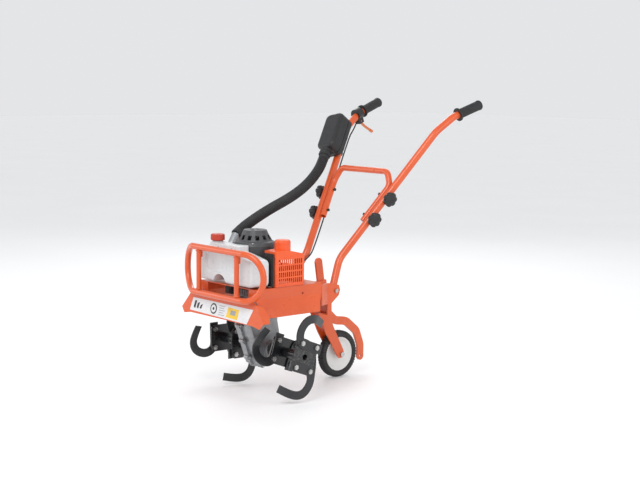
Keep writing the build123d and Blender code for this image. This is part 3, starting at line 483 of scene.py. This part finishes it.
def blade_strip(bm, side, which, half_turn):
    """Pressed steel strip, bolted flat on its plate, curling round the axle to a blunt leaning tip."""
    lean = TIP_LEAN[which]
    route = [mm(*point) for point in (
        (3.1, -66, -17), (3.1, -30, -30), (3.1, 14, -44), (3.1, 25, -66), (3.1, 20, -92), (3.1, 4, -113),
        (3.1, -16, -124), (3.1 + lean * 0.1, -42, -124), (3.1 + lean * 0.55, -70, -112), (3.1 + lean, -95,
                                                                                          -96))]
    turn = radians(PHASES[side, which] + half_turn)
    points = evenly(along_curve(route), mm(3))
    rings = []
    for index, place in enumerate(points):
        share = index / (len(points) - 1)
        half_width = mm(16.5 - 3 * share)
        half_thick = mm(3) if share < 0.8 else mm(3) * (1 - 0.45 * (share - 0.8) / 0.2)
        tangent = (points[min(index + 1, len(points) - 1)] - points[max(index - 1, 0)]).normalized()
        across = tangent.cross(Vector((1, 0, 0))).normalized()
        upward = across.cross(tangent)
        corner = mm(1)
        ring = []
        outline = [(half_width, half_thick - corner), (half_width - corner, half_thick),
                   (corner - half_width, half_thick), (-half_width, half_thick - corner),
                   (-half_width, corner - half_thick), (corner - half_width, -half_thick),
                   (half_width - corner, -half_thick), (half_width, corner - half_thick)]
        for a, b in outline:
            local = place + across * a + upward * b
            y = local.y * cos(turn) - local.z * sin(turn)
            z = local.y * sin(turn) + local.z * cos(turn)
            ring.append(bm.verts.new((side * (mm(PLATE_FACES[which]) + local.x), mm(AXLE_Y) + y,
                                      mm(AXLE_Z) + z)))
        rings.append(ring)
    join_rings(bm, rings)


def curved_blades():
    for side, word in ((1, "left"), (-1, "right")):
        bm = bmesh.new()
        for which in (0, 1):
            for half_turn in (0, 180):
                blade_strip(bm, side, which, half_turn)
        name = word + "_curved_blades"
        finish_piece(name, mesh_from(bm, name), "tine_rotor", "tine_paint",
                     stands_for=[word + "_tine_blades"])


# ---------------------------------------------------------------- engine details
def ribbed_fuel_cap():
    def ribs(turn, along):
        return 1 - 0.045 * max(0, cos(26 * turn)) if 3 < along < 18 else 1

    profile = [(-12, 12), (-0.2, 15.8), (0.2, 22.8), (1.2, 23.8), (2.6, 24), (3.6, 24), (17.4, 23.6),
               (18.6, 23.2),
               (20.6, 21.6), (21.5, 19), (21.3, 8), (20.6, 6), (20.6, 0.5)]
    bm = bmesh.new()
    lathe(bm, mm(-88, -416, 520.4), (0, 0, 1), profile, 208, ribs)
    finish_piece("ribbed_fuel_cap", mesh_from(bm, "ribbed_fuel_cap"), "fuel_cap", "red_plastic",
                 stands_for=["fuel_cap"])


def screw_heads(name, places, axis, radius, height, body):
    """Pan-head screws with a round driver socket."""
    bm = bmesh.new()
    for place in places:
        profile = [(-1, radius), (height * 0.4, radius), (height * 0.8, radius * 0.85),
                   (height, radius * 0.6),
                   (height, radius * 0.35), (height * 0.45, radius * 0.3), (height * 0.45, 0.3)]
        lathe(bm, place, axis, profile, 28)
    finish_piece(name, mesh_from(bm, name), body, "plated_steel")


def plate(bm, outline, front, layer, index):
    """Thin plate on the apron's slope; the outline is (x, z) pairs in millimetres."""
    verts = []
    for depth in (layer, -0.6):
        verts.append([bm.verts.new(mm(x, front(z) - depth, z)) for x, z in outline])
    near, far = verts
    faces = [bm.faces.new(near), bm.faces.new(far[::-1])]
    for a, b, c, d in zip(near, near[1:] + near[:1], far[1:] + far[:1], far):
        faces.append(bm.faces.new((a, d, c, b)))
    for face in faces:
        face.material_index = index


def disc_outline(x, z, radius, count=40):
    return [(x + radius * cos(2 * pi * k / count),
             z + radius * sin(2 * pi * k / count)) for k in range(count)]


def slab(bm, low, high, bevel):
    """Block between two corners in millimetres, with its edges broken."""
    made = bmesh.ops.create_cube(bm, size=1)
    size = mm(*high) - mm(*low)
    middle = (mm(*high) + mm(*low)) / 2
    for vertex in made["verts"]:
        vertex.co = Vector((vertex.co.x * size.x, vertex.co.y * size.y, vertex.co.z * size.z)) + middle
    edges = {edge for vertex in made["verts"] for edge in vertex.link_edges}
    bmesh.ops.bevel(bm, geom=list(edges), offset=mm(bevel), segments=2, affect="EDGES")


def under_tank_details():
    """Finned adapter casting and ignition box seen through the gap under the tank."""
    bm = bmesh.new()
    slab(bm, (22, -414, 348), (110, -392, 374), 2)
    for k in range(9):
        x = 26 + 9.5 * k
        slab(bm, (x, -432, 349), (x + 3, -413, 373), 0.7)
    finish_piece("finned_adapter", mesh_from(bm, "finned_adapter"), "chassis", "cast_aluminium")
    bm = bmesh.new()
    slab(bm, (-30, -430, 348), (8, -402, 375), 3)
    slab(bm, (-22, -433, 354), (0, -429, 369), 1)
    finish_piece("ignition_box", mesh_from(bm, "ignition_box"), "chassis", "black_plastic")
    bm = bmesh.new()
    slab(bm, (98, -371, 384), (148, -358.6, 492), 3)
    finish_piece("heat_shield", mesh_from(bm, "heat_shield"), "chassis", "black_rubber")


def engine_screws():
    necks = [mm(x, -439.5, 502) for x in (-52, 22)]
    screw_heads("filler_block_screws", necks, (0, -1, 0), 4.2, 2.2, "chassis")
    rim = []
    for k in range(4):
        turn = radians(45 + 90 * k)
        rim.append(mm(68 * cos(turn), -325 + 68 * sin(turn), 517))
    screw_heads("recoil_cover_screws", rim, (0, 0, 1), 3.4, 2.4, "chassis")


def front_label():
    """Printed strip along the apron: plain shapes only, a ring, a bright patch and bars."""
    def front(z):
        return -458 - (345 - z) * 13 / 87

    bm = bmesh.new()
    plate(bm, [(-164, 320), (166, 320), (140, 270), (-176, 276)], front, 0.5, 0)
    plate(bm, disc_outline(-44, 297, 18), front, 0.8, 1)
    plate(bm, disc_outline(-44, 297, 13), front, 1.1, 0)
    plate(bm, disc_outline(-44, 297, 5), front, 1.4, 1)
    plate(bm, [(36, 312), (94, 310), (88, 276), (26, 278)], front, 0.8, 2)
    plate(bm, [(52, 304), (78, 303), (74, 288), (48, 289)], front, 1.1, 3)
    for k in range(5):
        z = 312 - 7.5 * k
        plate(bm, [(-14, z), (18 - 6 * (k % 2), z), (17 - 6 * (k % 2), z - 2), (-15, z - 2)], front, 0.8, 3)
    for k in range(3):
        x = -152 + 17 * k
        plate(bm, [(x, 310 - 6 * k), (x + 12, 312 - 4 * k), (x + 5, 284 + k), (x - 4, 288)], front, 0.8, 1)
    names = ("label_white", "label_black", "label_yellow", "label_grey")
    finish_piece("front_label", mesh_from(bm, "front_label"), "chassis",
                 materials=[MATERIALS[name] for name in names], smooth=False)


def weld_beads():
    """Ripple of weld where each upright of the bumper meets its loop."""
    bm = bmesh.new()
    for side in (1, -1):
        for height, up in ((487.5, 1), (358.5, -1)):
            profile = [(-3, 8.2), (-2.4, 9.4), (-0.6, 10.9), (1, 11), (2.4, 9.5)]
            lathe(bm, mm(side * 104, -483, height), (0, 0, up), profile, 60, lambda turn,
                  _: 1 + 0.03 * cos(20 * turn))
    finish_piece("bumper_weld_beads", mesh_from(bm, "bumper_weld_beads"), "chassis", "orange_paint")


# ---------------------------------------------------------------- handle details
def ribbed_grips():
    """Rubber grips: flange, lengthwise ribs and a bulged end."""
    def ribs(turn, along):
        return 1 - 0.055 * max(0, cos(22 * turn)) ** 0.6 if 12 < along < 94 else 1

    profile = [(0.1, 14), (0.1, 22.8), (1.2, 24), (4.8, 24), (6.2, 22.6), (7.4, 18.6), (9.5, 17.2),
               (11.5, 17.2),
               (13, 17.2), (93, 17.2), (95, 17.4), (98, 18.4), (103, 18.5), (105.6, 17), (106.6,
                                                                                          13), (106.6, 1)]
    for side, word in ((1, "left"), (-1, "right")):
        start = mm(side * 249.5, 388, 942.5)
        end = mm(side * 262.6, 487.7, 977.8)
        bm = bmesh.new()
        lathe(bm, start, end - start, profile, 176, ribs)
        name = word + "_ribbed_grip"
        finish_piece(name, mesh_from(bm, name), "handle", "black_rubber", stands_for=[word + "_grip"])


def star_knobs():
    """Seven-lobed knobs on their bolts, with the nut inside the hoop."""
    def lobes(turn, along):
        return 0.83 + 0.17 * abs(cos(3.5 * turn)) ** 0.7 if along > 16 else 1

    head = [(13.9, 3), (13.9, 10), (15.5, 12.5), (17.5, 22), (19.5, 25.6), (28.5, 26.8), (31.6, 25.4),
            (33.6, 21.5),
            (34.2, 14), (34.2, 9), (33, 8), (33, 0.5)]
    for side, word in ((1, "left"), (-1, "right")):
        along_tube = Vector((side * 0.329, 0.723, 1)).normalized()
        outward = (Vector((side, 0, 0)) - along_tube * along_tube.x * side).normalized()
        for height, level in ((585, "lower"), (655, "upper")):
            rise = height - 500
            centre = mm(side * (107 + 0.329 * rise), 19 + 0.723 * rise, height)
            bm = bmesh.new()
            lathe(bm, centre, outward, head, 168, lobes, along_tube)
            lathe(bm, centre, outward, [(-44, 0.4), (-44, 3), (14, 3), (14, 0.4)], 20)
            lathe(bm, centre, outward, [(-43.7, 3.1), (-43.7, 5.4), (-43.2, 5.9), (-39.8, 5.9),
                                        (-39.4, 5.4), (-39.4, 3.1)],
                  6)
            name = f"{word}_{level}_star_knob"
            node = f"{word}_{level}_knob"
            finish_piece(name, mesh_from(bm, name), node, "black_plastic", stands_for=[node])


def recess_tank_front(piece):
    """Shallow rounded panel pressed into the front wall of the tank."""
    centre, half, corner = mm(-20, 450), mm(84, 34), mm(22)
    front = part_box("fuel_tank")[0][1]
    for vertex in piece.data.vertices:
        if vertex.co.y > front + mm(5):
            continue
        over_x = abs(vertex.co.x - centre[0]) - half[0] + corner
        over_z = abs(vertex.co.z - centre[1]) - half[1] + corner
        beyond = Vector((max(over_x, 0), max(over_z, 0))).length + min(max(over_x, over_z), 0) - corner
        share = min(1, max(0, -beyond / mm(5)))
        vertex.co.y += mm(5) * share * share * (3 - 2 * share)


def soft_skins():
    tank = softened("soft_fuel_tank", "fuel_tank", "chassis", "tank_plastic", 0.0022, 7)
    recess_tank_front(tank)
    softened("soft_air_box_cover", "air_filter_cover", "handle", "black_plastic", 0.0018, 6)
    softened("soft_air_box_body", "air_filter_body", "handle", "black_plastic", 0.0018, 5)


# ---------------------------------------------------------------- hose and cable
HOSE_R = mm(19)
HOSE_ROUTE = [
    (-0.197, 0.155, 0.786), (-0.189, 0.137, 0.761), (-0.1825, 0.110, 0.728), (-0.178, 0.065, 0.689),
    (-0.172, 0.009, 0.657), (-0.165, -0.053, 0.632), (-0.158, -0.119, 0.610), (-0.150, -0.184, 0.586),
    (-0.141, -0.244, 0.561), (-0.135, -0.282, 0.5425), (-0.131, -0.306, 0.527)]
RIB_PITCH = mm(5.6)
RIB_STEPS = 6
CABLE_ROUTE = [
    (-0.244, 0.357, 0.903), (-0.237, 0.334, 0.873), (-0.226, 0.300, 0.847), (-0.096, 0.028, 0.470),
    (-0.064, -0.038, 0.422), (-0.074, -0.150, 0.396), (-0.086, -0.250, 0.402), (-0.076, -0.304, 0.432)]
CABLE_R = mm(2.5)


def intake_hose():
    line = along_curve(HOSE_ROUTE)
    points = evenly(line, RIB_PITCH / RIB_STEPS)

    def ribbed(k):
        wave = 0.5 + 0.5 * cos(2 * pi * k / RIB_STEPS)
        if k < 3 * RIB_STEPS or k > len(points) - 3 * RIB_STEPS:
            return HOSE_R
        return HOSE_R - mm(2.4) * (1 - wave ** 0.6)

    mesh = mesh_from(tube_along(points, ribbed, 40), "intake_hose_ribbed")
    hose = finish_piece("intake_hose_ribbed", mesh, None, "black_rubber", stands_for=["intake_hose"])
    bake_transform(hose)
    [tuple(p) for p in evenly(line, mm(6))]


def hose_cuff():
    """Moulded collar where the hose is pushed on to the air box."""
    top, below = Vector(HOSE_ROUTE[0]), Vector(HOSE_ROUTE[1])
    profile = [(-7, 18.8), (-7, 21.6), (-6, 22.4), (5, 22.4), (6, 21.6), (6, 18.8)]
    bm = bmesh.new()
    lathe(bm, top, below - top, profile, 56, ring_shaped=True)
    finish_piece("hose_cuff", mesh_from(bm, "hose_cuff"), "handle", "black_rubber")


def throttle_cable():
    line = evenly(along_curve(CABLE_ROUTE), mm(8))
    mesh = mesh_from(tube_along(line, lambda k: CABLE_R, 14), "throttle_cable_sleeve")
    cable = finish_piece("throttle_cable_sleeve", mesh, None, "black_rubber", stands_for=["throttle_cable"])
    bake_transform(cable)


# ---------------------------------------------------------------- floor
def floor():
    bm = bmesh.new()
    bmesh.ops.create_grid(bm, x_segments=2, y_segments=2, size=30)
    mesh = mesh_from(bm, "floor")
    material, tree, surface = shader("floor_paint", Roughness=0.6, Emission_Color=(0.97, 0.98, 1, 1),
                                     Emission_Strength=0.11)
    tone = blend_colours(tree, spread(tree, noise(tree, 1.5), 0.3, 0.7), (0.84, 0.84, 0.84),
                         (0.86, 0.86, 0.86))
    vary(tree, surface, "Base Color", tone)
    mesh.materials.append(material)
    ground = bpy.data.objects.new("floor", mesh)
    bpy.context.scene.collection.objects.link(ground)


make_camera()
make_studio()
floor()
paint_cad_nodes()
tyre_tread()
wheel_disc()
ribbed_fuel_cap()
curved_blades()
under_tank_details()
engine_screws()
front_label()
weld_beads()
ribbed_grips()
star_knobs()
soft_skins()
intake_hose()
hose_cuff()
throttle_cable()
